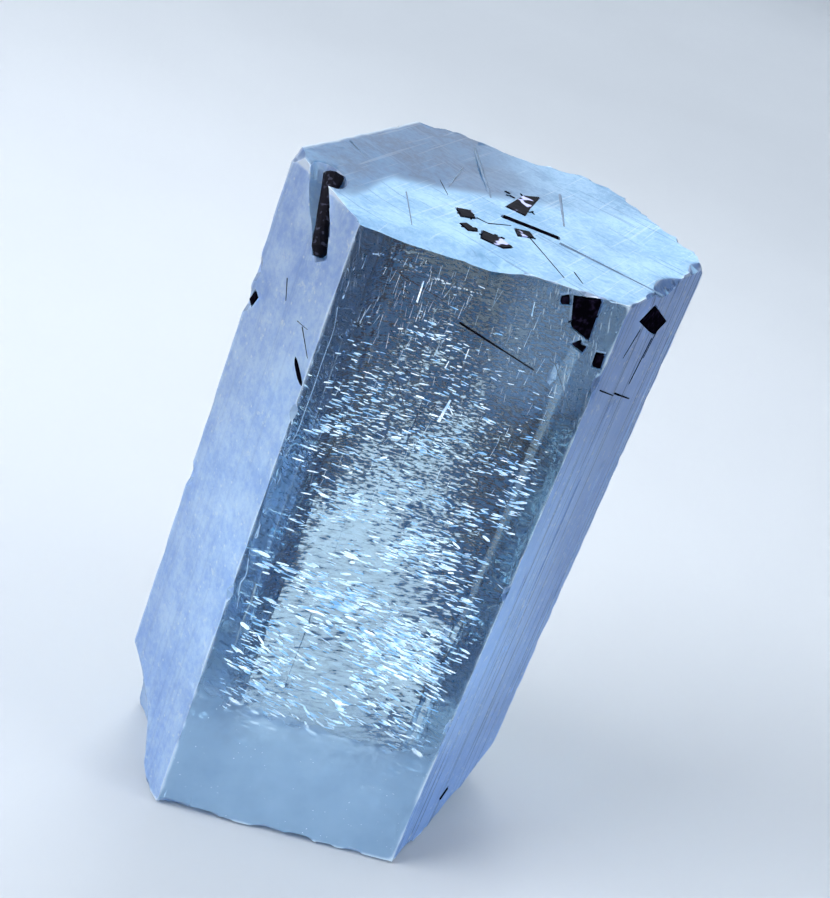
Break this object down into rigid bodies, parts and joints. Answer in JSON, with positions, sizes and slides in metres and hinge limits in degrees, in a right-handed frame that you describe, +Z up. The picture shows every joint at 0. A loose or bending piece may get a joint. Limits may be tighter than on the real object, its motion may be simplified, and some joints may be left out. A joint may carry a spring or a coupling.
{
  "type": "aquamarine crystal",
  "caption": "Natural aquamarine crystal: a six-sided clear to milky pale blue beryl prism with a flat top, chipped rims, black schorl inclusions and a broken base it stands on.",
  "frame": {"origin": "centre of the bounding box, on the broken base the crystal stands on", "axes": "+Z up the prism to its flat top; the widest clear face looks along -Y; +X to the right of that face"},
  "size_m": [0.0284, 0.0233, 0.0446],
  "materials": {
    "aquamarine": "clear pale blue beryl, frosted and striated on some faces, with inner flecks",
    "schorl": "black, vitreous"
  },
  "bodies": {
    "root": {"aquamarine_crystal": "aquamarine", "schorl_rod": "schorl", "schorl_block": "schorl", "schorl_block_side": "schorl", "schorl_block_foot": "schorl", "schorl_corner_block": "schorl", "schorl_edge_grain": "schorl", "schorl_needle": "schorl", "schorl_flake_left": "schorl", "schorl_flake_near_left": "schorl", "schorl_flake_near": "schorl", "schorl_flake_middle": "schorl", "schorl_flake_far": "schorl", "schorl_base_speck": "schorl", "schorl_side_speck": "schorl"}
  },
  "joints": []
}
